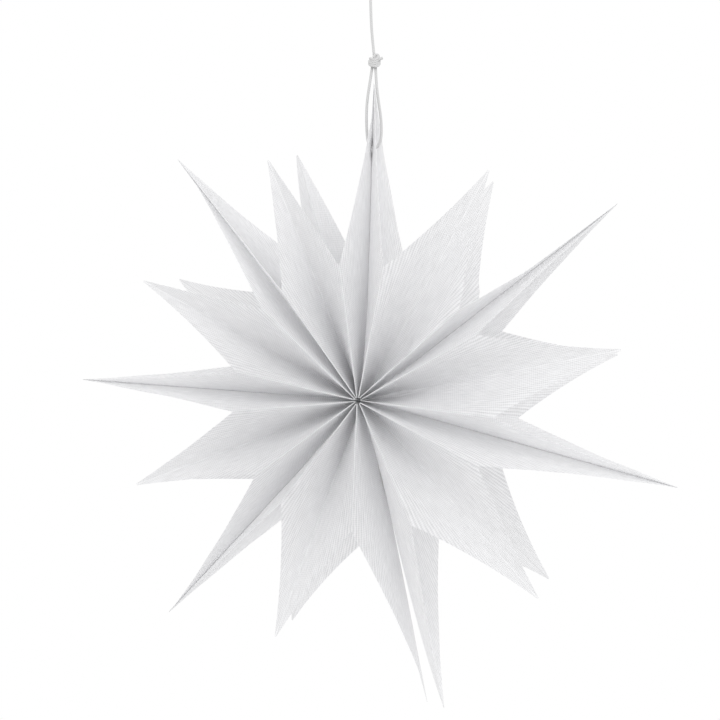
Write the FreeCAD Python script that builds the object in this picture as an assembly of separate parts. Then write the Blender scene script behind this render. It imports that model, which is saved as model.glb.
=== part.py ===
import FreeCAD
import Part
import math
import os
from collections import namedtuple
from FreeCAD import Vector

# A paper star folded from seven gusseted paper bags, hung on a cord. Millimetres, +Z up.
# The star lies in the XZ plane and its front faces -Y. The origin is where the cord's eye hangs.
# A bag is a flat tube with a closed bottom. It is glued to the next bag along the middle of
# its layer, its open end is cut to a point, and the seven bags are fanned round into a ring.

# ---- Paper and bags, all cut in one stack --------------------------------------------------
paper = 0.2
air = 0.1                 # slack between two folded layers
bag_width = 108.0         # flat width of a bag, which becomes the depth of the star
gusset_depth = 36.0
bottom_thickness = 0.6    # the bag's bottom, folded over and pressed
hub_radius = 3.6          # the bottoms stand this far off the star's axis
glue_strip = 6.0          # width of the glued line at the hub
point_width = 0.6         # the same line where it runs out at the cut point
valley_fold = 1.0         # width of a gusset's inner fold at the open end
centre_length = 227.0     # bottom to point, along the glued line
front_edge_length = 91.0  # bottom to cut, along the two front creases
rear_edge_length = 107.0  # the cut ran off square, so the rear creases are longer
cut_hollow = 3.0          # how far each cut edge is hollow at the middle
gusset_belly = 3.5        # how far a gusset panel rounds inwards at the open end

# ---- How the fan was opened by hand: degrees anticlockwise from +X, seen from the front ----
# A line is where two bags are glued. Its lean tips its outer end back from the star's plane,
# and its bend turns its outer end aside, as where the closing seam springs open.
Line = namedtuple("Line", "azimuth lean bend")
seam_azimuth = -78.5
LINES = [
    Line(seam_azimuth, 3.0, 2.5),
    Line(-15.5, 0.0, 0.0),
    Line(38.0, 2.5, 0.0),
    Line(88.5, 0.0, 0.0),
    Line(128.5, 4.0, 0.0),
    Line(176.0, 12.0, 0.0),
    Line(226.0, 12.0, 0.0),
    Line(360 + seam_azimuth, 9.0, -1.0),
]
cord_line = LINES[3]
bend_start = 0.7          # share of a line's length at which its bend pulls

# How each bag was opened: the way its front and its rear gusset aim, and the angle that the
# gusset's two panels make at the cut.
Opening = namedtuple("Opening", "front_aim front_angle rear_aim rear_angle")
BAGS = {
    "bag_1_lower_right": Opening(-47.7, 120.0, -45.3, 139.0),
    "bag_2_right": Opening(11.0, 109.0, 10.5, 135.0),
    "bag_3_upper_right": Opening(60.5, 113.0, 61.0, 121.0),
    "bag_4_upper_left": Opening(111.5, 76.0, 106.5, 54.0),
    "bag_5_left": Opening(152.0, 86.0, 148.8, 125.0),
    "bag_6_lower_left": Opening(200.0, 86.0, 200.0, 100.0),
    "bag_7_bottom": Opening(249.0, 100.0, 249.0, 116.0),
}

# ---- Closing tape between the first and the last bag ---------------------------------------
tape_thickness = 0.2
tape_start = 10.0         # from the bags' bottoms
tape_length = 50.0
tape_width = 4.0

# ---- Cord ----------------------------------------------------------------------------------
cord_diameter = 2.0
drop = 318.0              # from the hanging point down to the star's axis
axis_x = -3.5             # the star hangs plumb with its axis this far from the cord
hole_diameter = 5.0
hole_from_point = 48.0    # hole centre to the uppermost point
knot_diameter = 9.0
knot_height = 11.0
knot_centre = Vector(2.8, 0, -71.2)
tail_length = 7.5         # the cut end that sticks out of the knot, from the knot's middle
tail_direction = Vector(1, -0.25, 0.25)
eye_knot_diameter = 7.0
eye_knot_height = 8.0
eye_knot_centre = Vector(0, 0, -17.5)

# The cord's routes, as points that it passes inside of on its bends.
EYE_ROUTE = [
    Vector(-1.1, 0, -15.0), Vector(-3.2, 0, -11.0), Vector(-4.4, 0, -5.2), Vector(-3.6, 0, -0.6),
    Vector(-0.2, 0, 1.9), Vector(3.4, 0, -0.4), Vector(4.5, 0, -5.0), Vector(3.4, 0, -10.8),
    Vector(1.2, 0, -15.0),
]
HANGING_ROUTE = [
    Vector(0, 0, -20.0), Vector(0.2, 0, -34.5), Vector(1.0, 0, -51.5), Vector(2.7, 0, -67.2),
]
LOOP_ROUTE = [
    Vector(1.3, 0, -75.2), Vector(-1.0, 0, -86.5), Vector(-2.9, 0, -98.0), Vector(-3.7, 0, -110.0),
    Vector(-3.2, 0, -121.5), Vector(-2.1, 0, -129.4), Vector(-0.1, 0, -134.2), Vector(4.0, 0, -134.8),
    Vector(7.2, 0, -130.7), Vector(8.4, 0, -122.5), Vector(8.0, 0, -111.0), Vector(6.3, 0, -99.0),
    Vector(4.9, 0, -87.0), Vector(4.1, 0, -75.2),
]

# The gusset panels among the faces between a bag's lengthwise edges, counted round the bag.
GUSSET_PANELS = (3, 5, 11, 13)

half_width = bag_width / 2
crease_width = 2 * paper + air
pack = 2 * crease_width + air    # a bag folded flat: four layers and the slack between them
axis = Vector(axis_x, 0, -drop)
depth = Vector(0, 1, 0)


def spoke(azimuth):
    """Unit vector out from the star's axis."""
    angle = math.radians(azimuth)
    return Vector(math.cos(angle), 0, math.sin(angle))


def sideways(azimuth):
    """Unit vector anticlockwise across a spoke."""
    return spoke(azimuth + 90)


def unit(vector):
    return vector * (1 / vector.Length)


def edge_length(side):
    """Bottom to cut along the creases of the front (-1) or of the rear (1)."""
    return front_edge_length if side < 0 else rear_edge_length


def on_line(line, distance, turn=0.0):
    """Point on a glued line, this far from the bags' bottoms."""
    lean = math.radians(line.lean)
    reach = hub_radius + distance * math.cos(lean)
    return axis + spoke(line.azimuth + turn) * reach + depth * (distance * math.sin(lean))


def crease_end(azimuth, line, side):
    """Outer end of a crease: half a bag's width from the glued line, its own length from the hub."""
    length = edge_length(side)
    anchor = on_line(line, length)
    level = side * half_width
    for _ in range(8):
        reach = hub_radius + math.sqrt(length ** 2 - (level - side * half_width) ** 2)
        point = axis + spoke(azimuth) * reach
        flat = point - anchor
        level = anchor.y + side * math.sqrt(half_width ** 2 - flat.x ** 2 - flat.z ** 2)
    return point + depth * level


def valley_end(low, high, side, start):
    """Outer end of a gusset's inner fold: the gusset's depth behind both creases, then straight on."""
    length = edge_length(side)
    half_gap = (high - low).Length / 2
    behind = math.sqrt(gusset_depth ** 2 - half_gap ** 2)
    fold = (low + high) * 0.5 - depth * (side * behind)
    full_length = length + (centre_length - length) * gusset_depth / half_width
    return start + unit(fold - start) * full_length


def straight(start, end):
    """The three poles of a straight lengthwise edge."""
    return [start, (start + end) * 0.5, end]


def glued_edge(line, middle, level, tape):
    """The three poles of one edge of a glued strip, at a level in front of or behind its middle."""
    turn = math.radians(line.azimuth - middle)
    offset = hub_radius * math.tan(turn) + tape / math.cos(turn)
    start = axis + spoke(middle) * hub_radius + sideways(middle) * offset
    tip_level = math.copysign(point_width / 2, level)
    pull = on_line(line, centre_length * bend_start) + sideways(line.azimuth) * tape
    share = level + (tip_level - level) * bend_start
    point = on_line(line, centre_length, line.bend) + sideways(line.azimuth) * tape
    return [start + depth * level, pull + depth * share, point + depth * tip_level]


def outer_edges(low_line, high_line, opening):
    """The lengthwise edges of a bag's outer surface, in order round the bag."""
    middle = (low_line.azimuth + high_line.azimuth) / 2
    across = sideways(middle)
    strip = glue_strip / 2
    low_tape = tape_thickness / 2 if low_line is LINES[0] else 0.0
    high_tape = -tape_thickness / 2 if high_line is LINES[-1] else 0.0

    def hub(offset, level):
        return axis + spoke(middle) * hub_radius + across * offset + depth * level

    def gusset(side, aim, angle):
        half_gap = gusset_depth * math.sin(math.radians(angle / 2))
        spread = math.degrees(math.asin(half_gap / (hub_radius + edge_length(side))))
        low = crease_end(aim - spread, low_line, side)
        high = crease_end(aim + spread, high_line, side)
        half = across * (crease_width / 2)
        edge = side * half_width
        inner = side * (half_width - gusset_depth)
        end = valley_end(low + half, high - half, side, hub(0, inner))
        fold = across * (valley_fold / 2)
        return [
            straight(hub(-pack / 2, edge), low - half),
            straight(hub(-air / 2, edge), low + half),
            straight(hub(-air / 2, inner), end - fold),
            straight(hub(air / 2, inner), end + fold),
            straight(hub(air / 2, edge), high - half),
            straight(hub(pack / 2, edge), high + half),
        ]

    front = gusset(-1, opening.front_aim, opening.front_angle)
    rear = gusset(1, opening.rear_aim, opening.rear_angle)
    return (
        [glued_edge(low_line, middle, level, low_tape) for level in (strip, -strip)]
        + front
        + [glued_edge(high_line, middle, level, high_tape) for level in (-strip, strip)]
        + rear[::-1]
    )


def cut_poles(edges):
    """The middle pole of each cut edge: straight on creases and folds, hollow on the panels."""
    poles = []
    for index, edge in enumerate(edges):
        after = edges[(index + 1) % len(edges)]
        chord = after[2] - edge[2]
        middle = (edge[2] + after[2]) * 0.5
        along = unit((edge[2] - edge[0]) + (after[2] - after[0]))
        if chord.Length > gusset_depth / 2:
            back = unit(chord * chord.dot(along) * (1 / chord.Length ** 2) - along)
            middle = middle + back * (2 * cut_hollow)
            if index in GUSSET_PANELS:
                middle = middle + unit(chord.cross(along)) * (2 * gusset_belly)
        poles.append(middle)
    return poles


def inner_edges(edges, middle):
    """The same edges on the inner surface, one paper thickness in and clear of the bottom."""
    result = []
    count = len(edges)
    for index, edge in enumerate(edges):
        before = edges[index - 1]
        after = edges[(index + 1) % count]
        tangents = (edge[1] - edge[0], edge[2] - edge[0], edge[2] - edge[1])
        poles = []
        for row, tangent in enumerate(tangents):
            first = unit((edge[row] - before[row]).cross(tangent))
            second = unit((after[row] - edge[row]).cross(tangent))
            mitre = (first + second) * (paper / (1 + first.dot(second)))
            poles.append(edge[row] + mitre)
        along = unit(poles[1] - poles[0])
        out = spoke(middle)
        short = hub_radius + bottom_thickness - (poles[0] - axis).dot(out)
        poles[0] = poles[0] + along * (short / along.dot(out))
        result.append(poles)
    return result


def patch(rows):
    """A face from a net of poles, row by row."""
    surface = Part.BezierSurface()
    surface.increase(len(rows) - 1, len(rows[0]) - 1)
    for row, poles in enumerate(rows, 1):
        for column, pole in enumerate(poles, 1):
            surface.setPole(row, column, pole)
    return surface.toShape()


def skin(edges, cuts):
    """The curved panels, crease faces and fold faces between neighbouring lengthwise edges."""
    faces = []
    for index, edge in enumerate(edges):
        after = edges[(index + 1) % len(edges)]
        hub_row = [edge[0], (edge[0] + after[0]) * 0.5, after[0]]
        cut_row = [edge[2], cuts[index], after[2]]
        corners = (edge[0] + after[0] + edge[2] + after[2]) * 0.25
        centre = (hub_row[1] + cut_row[1]) * 0.5 + (edge[1] + after[1]) * 0.5 - corners
        faces.append(patch([hub_row, [edge[1], centre, after[1]], cut_row]))
    return faces


def bag(low_line, high_line, opening):
    """One bag: outer and inner skins, the cut rim between them and the closed bottom."""
    middle = (low_line.azimuth + high_line.azimuth) / 2
    outer = outer_edges(low_line, high_line, opening)
    inner = inner_edges(outer, middle)
    outer_cuts = cut_poles(outer)
    inner_cuts = []
    rims = []
    for index, edge in enumerate(outer):
        following = (index + 1) % len(outer)
        shift = (inner[index][2] - edge[2] + inner[following][2] - outer[following][2]) * 0.5
        inner_cuts.append(outer_cuts[index] + shift)
        rims.append(patch([
            [edge[2], outer_cuts[index], outer[following][2]],
            [inner[index][2], inner_cuts[index], inner[following][2]],
        ]))
    bottoms = []
    for edges in (outer, inner):
        corners = [edge[0] for edge in edges]
        bottoms.append(Part.Face(Part.makePolygon(corners + corners[:1])))
    shell = Part.makeShell(skin(outer, outer_cuts) + skin(inner, inner_cuts) + rims + bottoms)
    shell.sewShape()
    solid = Part.makeSolid(shell)
    if solid.Volume < 0:
        solid.reverse()
    return solid


def closing_tape():
    """The double-sided tape between the first and the last bag."""
    across = sideways(seam_azimuth)
    inner = axis + spoke(seam_azimuth) * (hub_radius + tape_start)
    corner = inner - across * (tape_thickness / 2) - depth * (tape_width / 2)
    edge = Part.makeLine(corner, corner + depth * tape_width)
    return edge.extrude(across * tape_thickness).extrude(spoke(seam_azimuth) * tape_length)


def tube(name, route):
    """A length of cord: straight runs joined by arcs as large as the two runs allow."""
    edges = []
    start = route[0]
    radii = []
    for before, corner, after in zip(route, route[1:], route[2:]):
        back = unit(before - corner)
        ahead = unit(after - corner)
        half_turn = (math.pi - back.getAngle(ahead)) / 2
        trim = 0.45 * min((before - corner).Length, (after - corner).Length)
        radius = trim / math.tan(half_turn)
        radii.append(round(radius, 1))
        entry = corner + back * trim
        leave = corner + ahead * trim
        inner = unit(back + ahead)
        middle = corner + inner * (radius / math.cos(half_turn) - radius)
        edges.append(Part.makeLine(start, entry))
        edges.append(Part.Arc(entry, middle, leave).toShape())
        start = leave
    edges.append(Part.makeLine(start, route[-1]))
    path = Part.Wire(edges)
    circle = Part.makeCircle(cord_diameter / 2, route[0], route[1] - route[0])
    solid = path.makePipeShell([Part.Wire(circle)], True, False)
    section = math.pi * cord_diameter ** 2 / 4
    print(name, "radii", radii, "length", round(path.Length, 1),
          "volume over section x length", round(solid.Volume / (section * path.Length), 4))
    return solid


def knot(diameter, height, centre, cords, tail=None):
    """A drawn-up knot as a plain barrel, with a socket for each cord that runs into it."""
    girth = diameter / 2
    collar = (girth + cord_diameter) / 2
    shoulder = height / 4
    profile = [
        Vector(0, 0, -height / 2), Vector(collar, 0, -height / 2), Vector(girth, 0, -shoulder),
        Vector(girth, 0, shoulder), Vector(collar, 0, height / 2), Vector(0, 0, height / 2),
    ]
    half = Part.Face(Part.makePolygon(profile + profile[:1]))
    body = half.revolve(Vector(), Vector(0, 0, 1), 360)
    body.translate(centre)
    if tail:
        body = body.fuse(Part.makeCylinder(cord_diameter / 2, tail_length, centre, tail))
    for cord in cords:
        body = body.cut(cord)
    return body.Solids[0] if len(body.Solids) == 1 else body


def export(name, shape):
    shape.exportStep("parts/" + name + ".step")
    print(name, "valid", shape.isValid(), "solids", len(shape.Solids), "mm3", round(shape.Volume, 1))


os.makedirs("parts", exist_ok=True)

hole_centre = on_line(cord_line, centre_length - hole_from_point)
punch = Part.makeCylinder(
    hole_diameter / 2,
    2 * hole_diameter,
    hole_centre - sideways(cord_line.azimuth) * hole_diameter,
    sideways(cord_line.azimuth),
)
for index, (name, opening) in enumerate(BAGS.items()):
    solid = bag(LINES[index], LINES[index + 1], opening)
    if cord_line in LINES[index:index + 2]:
        solid = solid.cut(punch)
    export(name, solid)
export("closing_tape", closing_tape())

cord_eye = tube("cord_eye", EYE_ROUTE)
hanging_cord = tube("hanging_cord", HANGING_ROUTE)
cord_loop = tube("cord_loop", LOOP_ROUTE)
export("cord_eye", cord_eye)
eye_knot = knot(eye_knot_diameter, eye_knot_height, eye_knot_centre, [cord_eye, hanging_cord])
export("cord_eye_knot", eye_knot)
export("hanging_cord", hanging_cord)
cord_knot = knot(knot_diameter, knot_height, knot_centre, [hanging_cord, cord_loop], tail_direction)
export("cord_knot", cord_knot)
export("cord_loop", cord_loop)
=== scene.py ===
import math
from collections import namedtuple

import bmesh
import bpy
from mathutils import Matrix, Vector, noise


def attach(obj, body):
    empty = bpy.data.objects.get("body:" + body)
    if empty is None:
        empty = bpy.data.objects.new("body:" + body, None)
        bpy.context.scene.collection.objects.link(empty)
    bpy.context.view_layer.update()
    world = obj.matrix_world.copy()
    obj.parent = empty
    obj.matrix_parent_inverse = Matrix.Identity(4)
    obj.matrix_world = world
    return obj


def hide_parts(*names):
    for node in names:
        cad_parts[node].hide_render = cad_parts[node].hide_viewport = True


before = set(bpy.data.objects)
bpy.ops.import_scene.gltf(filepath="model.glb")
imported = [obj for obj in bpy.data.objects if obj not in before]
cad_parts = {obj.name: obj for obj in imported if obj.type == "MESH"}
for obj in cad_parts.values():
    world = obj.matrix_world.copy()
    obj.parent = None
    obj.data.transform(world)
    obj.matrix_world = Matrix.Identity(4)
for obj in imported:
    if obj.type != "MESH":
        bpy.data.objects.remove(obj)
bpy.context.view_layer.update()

# ---- Camera ---------------------------------------------------------------------------------
# A long lens at the height of the hanging star. It stands a little to the right of the star
# and a little below its middle.


def mm(value):
    """Millimetres as the scene's metres."""
    return value * 0.001


view_target = Vector((mm(-7.7), 0, mm(-288.7)))
view_distance = mm(1117)
view_azimuth = math.radians(6.4)
view_elevation = math.radians(-1.2)
camera_data = bpy.data.cameras.new("camera")
camera_data.sensor_width = 36
camera_data.lens = 76.9
camera = bpy.data.objects.new("camera", camera_data)
bpy.context.scene.collection.objects.link(camera)
view_line = Vector((
    math.sin(view_azimuth) * math.cos(view_elevation),
    -math.cos(view_azimuth) * math.cos(view_elevation),
    math.sin(view_elevation),
))
camera.location = view_target + view_line * view_distance
camera.rotation_euler = (math.pi / 2 - view_elevation, 0, view_azimuth)
bpy.context.scene.camera = camera

# ---- Cord -----------------------------------------------------------------------------------
# Round white cotton cord, 2 mm thick, waxed so that it keeps its bends. One length carries the
# star, from the small eye that goes over the hook down to the knot above the top point. From
# the knot a loop goes through the punched hole.

cord_diameter = mm(2)
yarn_pitch = mm(1.1)
wave_length = 0.314   # a wave texture repeats at this length when its scale is 1


def linear(code):
    """An sRGB hex colour as linear red, green, blue and alpha."""
    channels = [int(code[place:place + 2], 16) / 255 for place in (1, 3, 5)]
    values = [c / 12.92 if c <= 0.04045 else ((c + 0.055) / 1.055) ** 2.4 for c in channels]
    return (*values, 1)


def add_node(material, kind, settings=None, inputs=None):
    """A shader node with its settings; an input is a value, or another node's output to link."""
    tree = material.node_tree
    node = tree.nodes.new(kind)
    for name, value in (settings or {}).items():
        setattr(node, name, value)
    for name, value in (inputs or {}).items():
        if isinstance(value, bpy.types.NodeSocket):
            tree.links.new(value, node.inputs[name])
        else:
            node.inputs[name].default_value = value
    return node


# Waxed cotton cord: laid yarns show as fine slanting ridges, with a dull sheen and no gloss.
waxed_cotton = bpy.data.materials.new("waxed_cotton_cord")
waxed_cotton.use_nodes = True
cotton_surface = waxed_cotton.node_tree.nodes["Principled BSDF"]
cord_place = add_node(waxed_cotton, "ShaderNodeTexCoord")
cord_turn = add_node(
    waxed_cotton, "ShaderNodeMapping",
    inputs={"Vector": cord_place.outputs["Object"], "Rotation": (0, math.radians(32), 0)},
)
yarns = add_node(
    waxed_cotton, "ShaderNodeTexWave",
    {"wave_type": "BANDS", "bands_direction": "Z", "wave_profile": "SIN"},
    {"Vector": cord_turn.outputs["Vector"], "Scale": wave_length / yarn_pitch,
     "Distortion": 0.6, "Detail": 2.0, "Detail Scale": 1.5},
)
yarn_tone = add_node(
    waxed_cotton, "ShaderNodeMix", {"data_type": "RGBA"},
    {"Factor": yarns.outputs["Fac"], "A": linear("#C4C4C4"), "B": linear("#DEDEDE")},
)
yarn_relief = add_node(
    waxed_cotton, "ShaderNodeBump",
    inputs={"Height": yarns.outputs["Fac"], "Strength": 0.6, "Distance": mm(0.12)},
)
waxed_cotton.node_tree.links.new(yarn_tone.outputs["Result"], cotton_surface.inputs["Base Color"])
waxed_cotton.node_tree.links.new(yarn_relief.outputs["Normal"], cotton_surface.inputs["Normal"])
cotton_surface.inputs["Roughness"].default_value = 0.75
cotton_surface.inputs["Specular IOR Level"].default_value = 0.3

# The cord's routes in millimetres: the points of a smooth curve that bends inside them.
eye_route = [
    (-1.1, 0, -15.0), (-3.2, 0, -11.0), (-4.4, 0, -5.2), (-3.6, 0, -0.6),
    (-0.2, 0, 1.9), (3.4, 0, -0.4), (4.5, 0, -5.0), (3.4, 0, -10.8),
    (1.2, 0, -15.0),
]
hanging_route = [(0, 0, -20.0), (0.2, 0, -34.5), (1.0, 0, -51.5), (2.7, 0, -67.2)]
loop_route = [
    (1.3, 0, -75.2), (-0.4, 0, -86.5), (-2.3, 0, -98.0), (-3.1, 0, -110.0),
    (-2.8, 0, -121.5), (-2.1, 0, -129.4), (-0.1, 0, -134.2), (4.0, 0, -134.8),
    (7.2, 0, -130.7), (8.2, 0, -122.5), (7.5, 0, -111.0), (5.6, 0, -99.0),
    (4.2, 0, -87.0), (3.7, 0, -75.2),
]


def round_cord(name, strands):
    """Cord along one or more smooth routes of points in metres. Gives its piece and its line."""
    curve = bpy.data.curves.new(name, "CURVE")
    curve.dimensions = "3D"
    curve.resolution_u = 8
    curve.use_fill_caps = True
    for strand in strands:
        spline = curve.splines.new("NURBS")
        spline.points.add(len(strand) - 1)
        for point, place in zip(spline.points, strand):
            point.co = (*place, 1)
        spline.order_u = 3
        spline.use_endpoint_u = True
    drawn = bpy.data.objects.new(name + "_line", curve)
    bpy.context.scene.collection.objects.link(drawn)
    line = bpy.data.meshes.new_from_object(drawn)
    path = [tuple(vertex.co) for vertex in line.vertices]
    bpy.data.meshes.remove(line)
    curve.bevel_resolution = 5
    curve.bevel_depth = cord_diameter / 2
    tube = bmesh.new()
    tube.from_mesh(bpy.data.meshes.new_from_object(drawn))
    bpy.data.objects.remove(drawn)
    bmesh.ops.remove_doubles(tube, verts=tube.verts[:], dist=1e-7)
    bmesh.ops.recalc_face_normals(tube, faces=tube.faces[:])
    for face in tube.faces:
        face.smooth = len(face.verts) == 4
    mesh = bpy.data.meshes.new(name)
    tube.to_mesh(mesh)
    tube.free()
    mesh.materials.append(waxed_cotton)
    piece = bpy.data.objects.new(name, mesh)
    bpy.context.scene.collection.objects.link(piece)
    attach(piece, "root")
    return piece, path


def in_metres(route):
    """A route's points in metres."""
    return [tuple(mm(value) for value in place) for place in route]


eye, eye_path = round_cord("hanging_eye_cord", [in_metres(eye_route)])
hanging, hanging_path = round_cord("hanging_length", [in_metres(hanging_route)])
loop, loop_path = round_cord("star_loop", [in_metres(loop_route)])
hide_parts("cord_eye")
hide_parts("hanging_cord")
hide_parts("cord_loop")

# ---- Knots ----------------------------------------------------------------------------------
# Both knots are overhand knots tied in doubled cord and drawn up tight. Two strands lie side
# by side in each wrap. The lower one keeps the short cut end of the cord, to its right.

strand_offset = cord_diameter * 0.42   # from the middle of a wrap to each of its two strands

# The way the doubled cord takes round a knot, as shares of the knot's half width, half depth
# and half height: up through it, round it twice and out under its own last wrap.
knot_way = [
    (-0.10, 0.00, -0.95), (-0.70, 0.45, -0.35), (-0.96, 0.10, -0.10), (-0.92, -0.42, -0.42),
    (-0.36, -0.90, -0.84), (0.36, -0.90, -0.92), (0.92, -0.34, -0.56), (0.98, 0.40, 0.04),
    (0.30, 0.90, 0.26), (-0.40, 0.84, 0.30), (-0.82, 0.14, 0.40), (-0.66, -0.62, 0.24),
    (-0.06, -1.00, -0.14), (0.56, -0.86, 0.06), (0.88, -0.20, 0.66), (0.66, 0.22, 1.14),
    (0.10, 0.04, 1.08), (-0.10, -0.44, 0.62), (0.20, -0.30, 0.30), (0.10, 0.20, 0.10),
]


def drawn_knot(name, centre, size, tail):
    """A knot of doubled cord that winds round itself inside the knot's outer size."""
    room = mm(size[0] / 2) - cord_diameter / 2, mm(size[1] / 2) - cord_diameter / 2
    rise = mm(size[2] / 2) - cord_diameter / 2 - strand_offset
    strands = []
    for offset in (-strand_offset, strand_offset):
        strands.append([
            (mm(centre[0]) + x * room[0], mm(centre[1]) + y * room[1],
             mm(centre[2]) + z * rise + offset)
            for x, y, z in knot_way
        ])
    if tail:
        strands.append(in_metres(tail))
    return round_cord(name, strands)[0]


eye_knot = drawn_knot("eye_knot", (0, 0, -17.5), (7.0, 7.0, 8.0), None)
loop_knot = drawn_knot(
    "loop_knot", (2.8, 0, -71.2), (9.6, 9.0, 11.0),
    [(2.6, -1.0, -70.6), (5.6, -2.0, -70.6), (9.2, -2.0, -69.2)],
)
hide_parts("cord_eye_knot")
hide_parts("cord_knot")

# ---- Paper ----------------------------------------------------------------------------------
# Uncoated white paper with a linen emboss: rollers press in ribs that run the length of each
# bag, crossed by finer lines. It is matt, a little uneven, and thin enough to glow when the
# light is behind one layer. The emboss's low places are also painted darker, as painted shade.

rib_pitch = mm(1.6)
cross_pitch = mm(1.45)
slub_width = mm(0.9)
slub_length = mm(11)
emboss_depth = mm(0.045)

# The linen emboss lies on the sheet as it was when flat: its first direction runs round the
# bag, its second along it.
linen_paper = bpy.data.materials.new("linen_embossed_paper")
linen_paper.use_nodes = True
paper_surface = linen_paper.node_tree.nodes["Principled BSDF"]
flat_place = add_node(linen_paper, "ShaderNodeUVMap", {"uv_map": "flat_sheet"})
rib_wave = add_node(
    linen_paper, "ShaderNodeTexWave",
    {"wave_type": "BANDS", "bands_direction": "X", "wave_profile": "SIN"},
    {"Vector": flat_place.outputs["UV"], "Scale": wave_length / rib_pitch,
     "Distortion": 2.6, "Detail": 3.0, "Detail Scale": 0.9, "Detail Roughness": 0.65},
)
cross_wave = add_node(
    linen_paper, "ShaderNodeTexWave",
    {"wave_type": "BANDS", "bands_direction": "Y", "wave_profile": "SIN"},
    {"Vector": flat_place.outputs["UV"], "Scale": wave_length / cross_pitch,
     "Distortion": 2.6, "Detail": 3.0, "Detail Scale": 0.9, "Detail Roughness": 0.65},
)
thread_stretch = add_node(
    linen_paper, "ShaderNodeMapping",
    inputs={"Vector": flat_place.outputs["UV"], "Scale": (1 / slub_width, 1 / slub_length, 1)},
)
slubs = add_node(
    linen_paper, "ShaderNodeTexNoise",
    inputs={"Vector": thread_stretch.outputs["Vector"], "Scale": 1.0, "Detail": 3.0},
)
weave = add_node(
    linen_paper, "ShaderNodeMath", {"operation": "MULTIPLY_ADD"},
    {0: cross_wave.outputs["Fac"], 1: 0.55, 2: rib_wave.outputs["Fac"]},
)
relief = add_node(
    linen_paper, "ShaderNodeMath", {"operation": "MULTIPLY_ADD"},
    {0: slubs.outputs["Fac"], 1: 2.2, 2: weave.outputs["Value"]},
)
emboss = add_node(
    linen_paper, "ShaderNodeBump",
    inputs={"Height": relief.outputs["Value"], "Strength": 1.0, "Distance": emboss_depth},
)
# Painted shade in the emboss: the colour runs from the darker tone where the relief is low to the
# lighter one where it is high. The grooves between ribs, cross lines and slubs are darkened in
# the colour as well as shaded by the bump.
emboss_shade_share = add_node(
    linen_paper, "ShaderNodeMapRange",
    inputs={"Value": relief.outputs["Value"], "From Min": 1.0, "From Max": 2.7},
)
emboss_shaded_paper_tone = add_node(
    linen_paper, "ShaderNodeMix", {"data_type": "RGBA"},
    {"Factor": emboss_shade_share.outputs["Result"], "A": linear("#E2E2E3"), "B": linear("#FEFEFF")},
)
linen_paper.node_tree.links.new(emboss_shaded_paper_tone.outputs["Result"], paper_surface.inputs["Base Color"])
linen_paper.node_tree.links.new(emboss.outputs["Normal"], paper_surface.inputs["Normal"])
paper_surface.inputs["Roughness"].default_value = 0.85
paper_surface.inputs["Specular IOR Level"].default_value = 0.25

# Light from behind glows through one layer, and less through two that are glued together.
glow = add_node(
    linen_paper, "ShaderNodeBsdfTranslucent",
    inputs={"Color": emboss_shaded_paper_tone.outputs["Result"], "Normal": emboss.outputs["Normal"]},
)
single_layer = add_node(linen_paper, "ShaderNodeAttribute", {"attribute_name": "single_layer"})
light_through = add_node(
    linen_paper, "ShaderNodeMapRange",
    inputs={"Value": single_layer.outputs["Fac"], "To Min": 0.15, "To Max": 0.44},
)
paper_body = add_node(
    linen_paper, "ShaderNodeMixShader",
    inputs={"Fac": light_through.outputs["Result"], 1: paper_surface.outputs["BSDF"],
            2: glow.outputs["BSDF"]},
)

# The sheet has two faces close together. Light that has come in through one leaves freely
# through the other, so that it passes through the paper once.
paper_output = linen_paper.node_tree.nodes["Material Output"]
inside_sheet = add_node(linen_paper, "ShaderNodeBsdfTransparent")
sheet_side = add_node(linen_paper, "ShaderNodeNewGeometry")
thin_sheet = add_node(
    linen_paper, "ShaderNodeMixShader",
    inputs={"Fac": sheet_side.outputs["Backfacing"], 1: paper_body.outputs["Shader"],
            2: inside_sheet.outputs["BSDF"]},
)
linen_paper.node_tree.links.new(thin_sheet.outputs["Shader"], paper_output.inputs["Surface"])

# The same paper in the glued bottoms and at the cut edges, where no light passes through.
solid_paper = linen_paper.copy()
solid_paper.name = "solid_linen_paper"
solid_nodes = solid_paper.node_tree.nodes
solid_paper.node_tree.links.new(
    solid_nodes["Principled BSDF"].outputs["BSDF"],
    solid_nodes["Material Output"].inputs["Surface"],
)

# ---- Bags -----------------------------------------------------------------------------------
# Seven bags, each one sheet of paper folded into a flat tube with a gusset down both sides.
# Their open ends were cut to a point in one stack. Each bag is made here as it was in paper:
# a flat sheet ruled with its folds, cut, and folded round into the opened shape.

# Sizes in millimetres. The bottoms are pressed closer to the star's axis than in the solids,
# and the lengths are as much longer, so that the points stay where they are.
paper = 0.2
air = 0.1                 # slack between two folded layers
bag_width = 108.0         # flat width of a bag, which becomes the depth of the star
gusset_depth = 36.0
hub_radius = 2.2          # the bottoms stand this far off the star's axis
glue_strip = 6.0          # width of the glued line at the hub
point_width = 0.6         # the same line where it runs out at the cut point
valley_fold = 1.0         # width of a gusset's inner fold at the open end
centre_length = 228.4     # bottom to point, along the glued line
front_edge_length = 92.4  # bottom to cut, along the two front creases
rear_edge_length = 108.4  # the cut ran off square, so the rear creases are longer
cut_hollow = 3.0          # how far each cut edge is hollow at the middle
gusset_belly = 3.5        # how far a gusset panel rounds inwards at the open end
round_valley = 4.5        # how far it rounds half way out, where the gusset is opened far
crisp_valley = 0.8        # and where it is not
half_width = bag_width / 2
crease_width = 2 * paper + air
pack = 2 * crease_width + air   # a bag folded flat: four layers and the slack between them

# The cockles of free paper: how long the large and the small ones are, and how high.
cockle_length = 34.0
small_cockle_length = 13.0
cockle_height = 0.7
glue_reach = 7.0          # this far from the glue a layer lies alone

axis = Vector((-3.5, 0, -318.0))
depth = Vector((0, 1, 0))
seam_azimuth = -78.5
tape_thickness = 0.2
bend_start = 0.7          # share of a line's length at which its bend pulls

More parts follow.
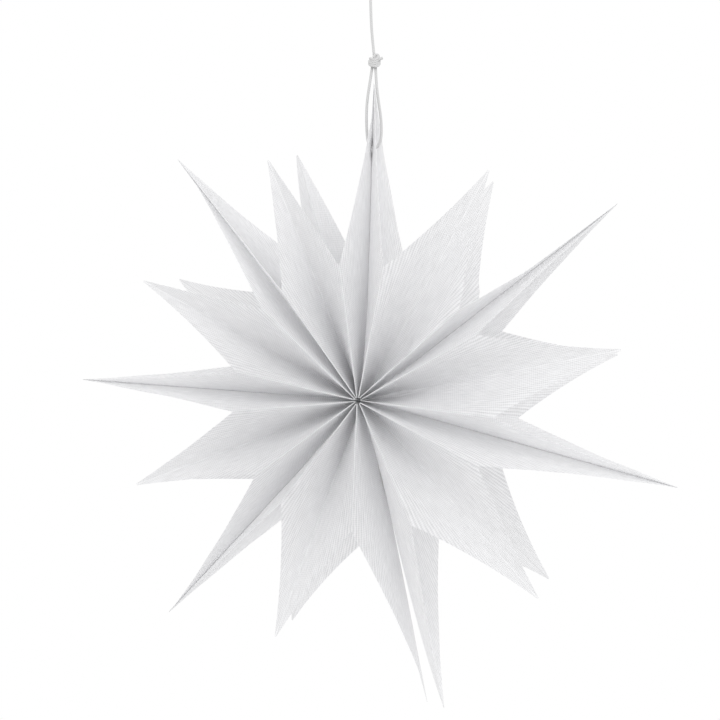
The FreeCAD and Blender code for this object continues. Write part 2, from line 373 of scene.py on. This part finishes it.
# The lines round the star where two bags are glued, in degrees. A line's lean tips its outer
# end to the rear, and its bend turns its outer end aside, as where the seam springs open.
Line = namedtuple("Line", "azimuth lean bend")
glued_lines = [
    Line(seam_azimuth, 3.0, 2.5),
    Line(-15.5, 0.0, 0.0),
    Line(38.0, 2.5, 0.0),
    Line(88.5, 0.0, 0.0),
    Line(128.5, 4.0, 0.0),
    Line(176.0, 12.0, 0.0),
    Line(226.0, 12.0, 0.0),
    Line(360 + seam_azimuth, 9.0, -1.0),
]

# How each bag was opened, in degrees: where its front gusset aims and how wide that gusset's
# two panels stand open at the cut, and the same for its rear gusset.
Opening = namedtuple("Opening", "front_aim front_angle rear_aim rear_angle")
openings = {
    "bag_1_lower_right": Opening(-47.7, 120.0, -45.3, 139.0),
    "bag_2_right": Opening(11.0, 109.0, 10.5, 135.0),
    "bag_3_upper_right": Opening(60.5, 113.0, 61.0, 121.0),
    "bag_4_upper_left": Opening(111.5, 76.0, 106.5, 54.0),
    "bag_5_left": Opening(152.0, 86.0, 148.8, 125.0),
    "bag_6_lower_left": Opening(200.0, 86.0, 200.0, 100.0),
    "bag_7_bottom": Opening(249.0, 100.0, 249.0, 116.0),
}
round_bags = ("bag_1_lower_right", "bag_2_right", "bag_3_upper_right")

# At these long points one bag's layers are narrower than they were cut, because they curl
# against the neighbour's: the point's azimuth, how far out the narrowing starts and ends, in
# millimetres, and the share of the width that stays to the tip.
narrow_points = {
    "bag_3_upper_right": (38.0, 95.0, 151.0, 0.06),
    "bag_4_upper_left": (88.5, 100.0, 206.0, 0.06),
    "bag_5_left": (128.5, 103.0, 201.0, 0.06),
    "bag_6_lower_left": (226.0, 104.0, 217.0, 0.06),
    "bag_7_bottom": (280.7, 97.5, 206.0, 0.25),
}

# Small dents from handling: where each is, which way it runs, its length, width and depth.
dents = {
    "bag_3_upper_right": (27.2, -280.0, 60.0, 9.0, 4.0, 3.2),
    "bag_2_right": (24.0, -313.5, 11.0, 13.0, 3.0, 2.0),
}

# The two bags that hang from the cord have a punched hole near the point where they are glued.
holed_bags = ("bag_3_upper_right", "bag_4_upper_left")
cord_line = glued_lines[3]
hole_diameter = 5.0
hole_from_point = 48.0
hole_sides = 12           # the round hole is cut with this many straight sides


def spoke(azimuth):
    """Unit vector out from the star's axis."""
    angle = math.radians(azimuth)
    return Vector((math.cos(angle), 0, math.sin(angle)))


def on_line(line, distance, turn=0.0):
    """Point on a glued line, this far from the bags' bottoms."""
    lean = math.radians(line.lean)
    reach = hub_radius + distance * math.cos(lean)
    return axis + spoke(line.azimuth + turn) * reach + depth * (distance * math.sin(lean))


def edge_length(side):
    """Bottom to cut along the creases of the front (-1) or of the rear (1)."""
    return front_edge_length if side < 0 else rear_edge_length


def fold_length(side):
    """Bottom to cut along the inner fold of the front (-1) or of the rear (1)."""
    length = edge_length(side)
    return length + (centre_length - length) * gusset_depth / half_width


def crease_end(azimuth, line, side):
    """Outer end of a crease, half a bag's width from its glued line, found step by step."""
    length = edge_length(side)
    anchor = on_line(line, length)
    level = side * half_width
    for _ in range(8):
        reach = hub_radius + math.sqrt(length ** 2 - (level - side * half_width) ** 2)
        point = axis + spoke(azimuth) * reach
        flat = point - anchor
        level = anchor.y + side * math.sqrt(half_width ** 2 - flat.x ** 2 - flat.z ** 2)
    return point + depth * level


def valley_end(low, high, side, start):
    """Outer end of a gusset's inner fold, which lies the gusset's depth behind both creases."""
    half_gap = (high - low).length / 2
    behind = math.sqrt(gusset_depth ** 2 - half_gap ** 2)
    fold = (low + high) / 2 - depth * (side * behind)
    return start + (fold - start).normalized() * fold_length(side)


def glued_edge(line, middle, level, tape):
    """The three poles of one edge of a glued strip, moved aside by half the closing tape."""
    turn = math.radians(line.azimuth - middle)
    offset = hub_radius * math.tan(turn) + tape / math.cos(turn)
    start = axis + spoke(middle) * hub_radius + spoke(middle + 90) * offset
    aside = spoke(line.azimuth + 90) * tape
    pull = on_line(line, centre_length * bend_start) + aside
    point = on_line(line, centre_length, line.bend) + aside
    tip_level = math.copysign(point_width / 2, level)
    pull_level = level + (tip_level - level) * bend_start
    return [start + depth * level, pull + depth * pull_level, point + depth * tip_level]


def folded_edges(low_line, high_line, opening):
    """The lengthwise edges of an opened bag in order round it, three poles each."""
    middle = (low_line.azimuth + high_line.azimuth) / 2
    across = spoke(middle + 90)
    low_tape = tape_thickness / 2 if low_line is glued_lines[0] else 0.0
    high_tape = -tape_thickness / 2 if high_line is glued_lines[-1] else 0.0

    def straight(offset, level, end):
        start = axis + spoke(middle) * hub_radius + across * offset + depth * level
        return [start, (start + end) / 2, end]

    def gusset(side, aim, angle):
        half_gap = gusset_depth * math.sin(math.radians(angle / 2))
        spread = math.degrees(math.asin(half_gap / (hub_radius + edge_length(side))))
        half = across * (crease_width / 2)
        low = crease_end(aim - spread, low_line, side)
        high = crease_end(aim + spread, high_line, side)
        edge = side * half_width
        inner = side * (half_width - gusset_depth)
        start = axis + spoke(middle) * hub_radius + depth * inner
        end = valley_end(low + half, high - half, side, start)
        fold = across * (valley_fold / 2)
        return [
            straight(-pack / 2, edge, low - half), straight(-air / 2, edge, low + half),
            straight(-air / 2, inner, end - fold), straight(air / 2, inner, end + fold),
            straight(air / 2, edge, high - half), straight(pack / 2, edge, high + half),
        ]

    half_strip = glue_strip / 2
    front = gusset(-1, opening.front_aim, opening.front_angle)
    rear = gusset(1, opening.rear_aim, opening.rear_angle)
    levels = (half_strip, -half_strip)
    low_strip = [glued_edge(low_line, middle, level, low_tape) for level in levels]
    high_strip = [glued_edge(high_line, middle, -level, high_tape) for level in levels]
    return low_strip + front + high_strip + rear[::-1]


# The panels in order round the sheet, each with its columns of faces: the glued strip, the
# rest of its layer, the gusset between its two creases and the next layer, at the front and
# then, from the other glued strip, at the rear.
Panel = namedtuple("Panel", "width columns")
strip = Panel(glue_strip, 2)
layer = Panel(half_width - glue_strip / 2, 16)
crease = Panel(crease_width, 2)
gusset_panel = Panel(gusset_depth, 14)
inner_fold = Panel(crease_width, 2)
panels = [strip, layer, crease, gusset_panel, inner_fold, gusset_panel, crease, layer] * 2
glued_strips = (0, 8)
layers_from_glue = (1, 9)
layers_to_glue = (7, 15)
gusset_panels = (3, 5, 11, 13)
crisp_folds = (2, 3, 6, 7, 10, 11, 14, 15)
sheet_rows = 56

# The sheet's length along the first edge of each panel.
sheet_lengths = []
for side in (-1, 1):
    sheet_lengths += [centre_length] * 2 + [edge_length(side)] * 2
    sheet_lengths += [fold_length(side)] * 2 + [edge_length(side)] * 2


def panel_at(column):
    """The panel at a column of the sheet, the width before it, and the share across it."""
    panel = 0
    before = 0.0
    while column >= panels[panel].columns and panel < len(panels) - 1:
        column -= panels[panel].columns
        before += panels[panel].width
        panel += 1
    return panel, before, column / panels[panel].columns


def from_glue(panel, across):
    """How far a place lies from the glue, in millimetres; on a gusset it is well away."""
    if panel in glued_strips:
        return 0.0
    if panel in layers_from_glue:
        return across * panels[panel].width
    if panel in layers_to_glue:
        return (1 - across) * panels[panel].width
    return glue_reach


def bezier(start, pull, end, share):
    """Point on a curve of three poles."""
    return start * (1 - share) ** 2 + pull * (2 * share * (1 - share)) + end * share ** 2


def narrowed(point, azimuth, start, end, kept):
    """A place on a layer, moved towards the glued line where the point is narrower."""
    reach = (point - axis).dot(spoke(azimuth))
    side = spoke(azimuth + 90)
    aside = (point - axis).dot(side)
    tip = hub_radius + centre_length
    if reach <= start:
        return point
    share = (end - reach) * (tip - start) / ((end - start) * max(tip - reach, 0.1))

    # Within 14 mm of the glued line the layer moves in full, and from 22 mm on not at all.
    near = min(max((22 - abs(aside)) / 8, 0), 1)
    return point - side * (aside * (1 - max(share, kept)) * near)


def dented(point, inward, x, z, turn, length, width, deep):
    """A place on a front panel, pushed in where the paper has a dent."""
    if point.y > -2:
        return point
    away = Vector((point.x - x, 0, point.z - z))
    along = away.dot(spoke(turn)) / length
    across = away.dot(spoke(turn + 90)) / width
    return point + inward * (deep * math.exp(-along * along - across * across))


def opened_place(name, edges, panel, across, share):
    """Where a place of the flat sheet lies on the opened bag, across its panel and along it."""
    low_start, low_pull, low_end = edges[panel]
    high_start, high_pull, high_end = edges[(panel + 1) % len(edges)]
    chord = high_end - low_end
    along = ((low_end - low_start) + (high_end - high_start)).normalized()
    inward = chord.cross(along).normalized()
    is_wide = chord.length > gusset_depth / 2

    # The cut is a little hollow on each wide panel, and a gusset's panels round in towards it.
    cut_pull = (low_end + high_end) / 2
    if is_wide:
        back = (chord * (chord.dot(along) / chord.length_squared) - along).normalized()
        cut_pull += back * (2 * cut_hollow)
        if panel in gusset_panels:
            cut_pull += inward * (2 * gusset_belly)
    hub_pull = (low_start + high_start) / 2
    corners = (low_start + high_start + low_end + high_end) / 4
    centre_pull = (hub_pull + cut_pull) / 2 + (low_pull + high_pull) / 2 - corners
    low = bezier(low_start, low_pull, low_end, share)
    mid = bezier(hub_pull, centre_pull, cut_pull, share)
    high = bezier(high_start, high_pull, high_end, share)
    point = bezier(low, mid, high, across)

    # A gusset that is opened far keeps a broad round valley. The paper cockles a little where
    # it is free, and lies true at its folds and its glue.
    if is_wide:
        freedom = 4 * across * (1 - across)
        cockle = noise.noise(Vector((point.x, point.y * 0.6, point.z)) / cockle_length)
        cockle += 0.4 * noise.noise(point / small_cockle_length)
        lift = cockle * cockle_height * min(share * 1.5, 1)
        if panel in gusset_panels:
            roundness = round_valley if name in round_bags else crisp_valley
            lift += roundness * 4 * share * (1 - share)
        inward = (high - low).cross(along).normalized()
        point = point + inward * (lift * freedom)
        if name in dents:
            point = dented(point, inward, *dents[name])
    if name in narrow_points:
        point = narrowed(point, *narrow_points[name])
    return point


def close_bottom(sheet, outward):
    """The folded bottom, made of solid paper; every face then looks out of the bag."""
    hub_rim = [
        edge for edge in sheet.edges
        if edge.is_boundary and all(
            (vertex.co * 1000 - axis).dot(outward) < hub_radius + 0.01 for vertex in edge.verts
        )
    ]
    bottom = bmesh.ops.contextual_create(sheet, geom=hub_rim)["faces"][0]
    bottom.material_index = 1
    bmesh.ops.recalc_face_normals(sheet, faces=sheet.faces[:])
    if bottom.normal.dot(outward) > 0:
        bmesh.ops.reverse_faces(sheet, faces=sheet.faces[:])


def punch_hole(sheet):
    """The round hole for the cord, through the layer that is glued at the cord's line."""
    line = spoke(cord_line.azimuth)
    through = spoke(cord_line.azimuth + 90)
    hole = (axis + line * (hub_radius + centre_length - hole_from_point)) * 0.001

    def from_hole(face):
        away = face.calc_center_median() - hole
        if abs(away.dot(through)) > mm(hole_diameter):
            return 1.0
        return math.hypot(away.dot(line), away.dot(depth))

    # Flat cuts along the hole's sides leave its inside as faces of their own.
    near = [face for face in sheet.faces if from_hole(face) < mm(9)]
    for turn in range(hole_sides):
        angle = 2 * math.pi * turn / hole_sides
        away = line * math.cos(angle) + depth * math.sin(angle)
        parts = {part for face in near for part in (face, *face.edges, *face.verts)}
        cut = bmesh.ops.bisect_plane(
            sheet, geom=list(parts), dist=1e-7,
            plane_co=hole + away * mm(hole_diameter / 2), plane_no=away,
        )
        near = [part for part in cut["geom"] if isinstance(part, bmesh.types.BMFace)]
    for face in near:
        face.material_index = 1
    punched = [face for face in near if from_hole(face) < mm(hole_diameter / 2) * 0.96]
    bmesh.ops.delete(sheet, geom=punched, context="FACES")


def folded_bag(name, low_line, high_line, opening):
    """One bag, ruled and cut as a flat sheet and folded into its opened shape."""
    edges = folded_edges(low_line, high_line, opening)

    # The flat sheet is a square grid one unit wide: columns run round the bag, rows along it.
    column_count = sum(panel.columns for panel in panels)
    sheet = bmesh.new()
    bmesh.ops.create_grid(sheet, x_segments=column_count, y_segments=sheet_rows, size=0.5)
    flat = sheet.loops.layers.uv.new("flat_sheet")
    alone = sheet.verts.layers.float.new("single_layer")
    flat_places = {}
    for vertex in sheet.verts:
        panel, before, across = panel_at(round((vertex.co.x + 0.5) * column_count))
        share = vertex.co.y + 0.5
        length = sheet_lengths[panel]
        next_length = sheet_lengths[(panel + 1) % len(panels)]
        flat_places[vertex] = (
            before + across * panels[panel].width,
            share * (length + (next_length - length) * across),
        )
        vertex[alone] = min(from_glue(panel, across) / glue_reach, 1)
        vertex.co = opened_place(name, edges, panel, across, share) * 0.001
    for face in sheet.faces:
        face.smooth = True
        for corner in face.loops:
            corner[flat].uv = [mm(value) for value in flat_places[corner.vert]]

    # The creases stay crisp, the gussets' inner folds stay soft.
    crisp = [sum(panel.width for panel in panels[:index]) for index in crisp_folds]
    for edge in sheet.edges:
        first, second = (flat_places[vertex][0] for vertex in edge.verts)
        if abs(first - second) < 1e-6 and any(abs(first - fold) < 1e-4 for fold in crisp):
            edge.smooth = False

    # The sheet's two long sides meet, its bottom is closed, and its cut edges stay sharp.
    bmesh.ops.remove_doubles(sheet, verts=sheet.verts[:], dist=1e-6)
    close_bottom(sheet, spoke((low_line.azimuth + high_line.azimuth) / 2))
    if name in holed_bags:
        punch_hole(sheet)
    for edge in sheet.edges:
        if edge.is_boundary:
            edge.smooth = False
    mesh = bpy.data.meshes.new(name + "_paper")
    sheet.to_mesh(mesh)
    sheet.free()
    mesh.materials.append(linen_paper)
    mesh.materials.append(solid_paper)
    piece = bpy.data.objects.new(name + "_paper", mesh)
    bpy.context.scene.collection.objects.link(piece)
    thickness = piece.modifiers.new("thickness", "SOLIDIFY")
    thickness.thickness = mm(paper)
    thickness.offset = -1
    thickness.material_offset_rim = 1
    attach(piece, "root")
    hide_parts(name)


for index, (bag_name, opening) in enumerate(openings.items()):
    folded_bag(bag_name, glued_lines[index], glued_lines[index + 1], opening)

# ---- Closing tape ---------------------------------------------------------------------------
# A short strip of clear double-sided tape between the first and the last bag. It keeps its
# solid's shape and shows only as a milky edge deep in the seam.

# Clear film with adhesive on both sides, slightly cloudy.
clear_tape = bpy.data.materials.new("double_sided_tape")
clear_tape.use_nodes = True
tape_surface = clear_tape.node_tree.nodes["Principled BSDF"]
tape_place = add_node(clear_tape, "ShaderNodeTexCoord")
tape_cloud = add_node(
    clear_tape, "ShaderNodeTexNoise",
    inputs={"Vector": tape_place.outputs["Object"], "Scale": 1 / mm(3), "Detail": 2.0},
)
tape_tone = add_node(
    clear_tape, "ShaderNodeMix", {"data_type": "RGBA"},
    {"Factor": tape_cloud.outputs["Fac"], "A": linear("#E4E4E0"), "B": linear("#F2F2EE")},
)
clear_tape.node_tree.links.new(tape_tone.outputs["Result"], tape_surface.inputs["Base Color"])
tape_surface.inputs["Roughness"].default_value = 0.35
tape_object = bpy.data.objects["closing_tape"]
for tape_slot in tape_object.material_slots:
    tape_slot.material = clear_tape

# ---- Light ----------------------------------------------------------------------------------
# Even white studio light from all round, with one large soft lamp to the right, in front and
# above, so that the folds shade towards the hub.

studio = bpy.data.worlds.new("studio")
bpy.context.scene.world = studio
bpy.context.scene.view_settings.view_transform = "Standard"
studio.use_nodes = True
lit_wall = studio.node_tree.nodes["Background"]
lit_wall.inputs["Color"].default_value = linear("#FFFFFF")
lit_wall.inputs["Strength"].default_value = 0.94
seen_wall = add_node(
    studio, "ShaderNodeBackground", inputs={"Color": linear("#FFFFFF"), "Strength": 1.0},
)
light_path = add_node(studio, "ShaderNodeLightPath")
backdrop = add_node(
    studio, "ShaderNodeMixShader",
    inputs={"Fac": light_path.outputs["Is Camera Ray"], 1: lit_wall.outputs["Background"],
            2: seen_wall.outputs["Background"]},
)
studio.node_tree.links.new(
    backdrop.outputs["Shader"], studio.node_tree.nodes["World Output"].inputs["Surface"],
)

# The lamp is square and aims at the star's middle from this far off, in metres.
lamp_place = Vector((0.6, -1.5, 1.6))
lamp_data = bpy.data.lights.new("main_lamp", "AREA")
lamp_data.size = 1.2
lamp_data.energy = 10.5
lamp = bpy.data.objects.new("main_lamp", lamp_data)
lamp.location = axis * mm(1) + lamp_place
lamp.rotation_euler = lamp_place.to_track_quat("Z", "Y").to_euler()
bpy.context.scene.collection.objects.link(lamp)

# ---- Floor ----------------------------------------------------------------------------------
# A plain pale studio floor, well below the hanging star.

floor_level = mm(-1300)
floor_radius = mm(1700)
floor_mesh = bmesh.new()
bmesh.ops.create_circle(floor_mesh, cap_ends=True, segments=96, radius=floor_radius)
bmesh.ops.translate(floor_mesh, vec=(0, 0, floor_level), verts=floor_mesh.verts[:])
floor_data = bpy.data.meshes.new("floor")
floor_mesh.to_mesh(floor_data)
floor_mesh.free()
floor = bpy.data.objects.new("floor", floor_data)
bpy.context.scene.collection.objects.link(floor)

# Board painted matt white.
painted_board = bpy.data.materials.new("painted_board")
painted_board.use_nodes = True
board_surface = painted_board.node_tree.nodes["Principled BSDF"]
board_surface.inputs["Base Color"].default_value = linear("#FCFCFC")
board_surface.inputs["Roughness"].default_value = 0.9
floor_data.materials.append(painted_board)
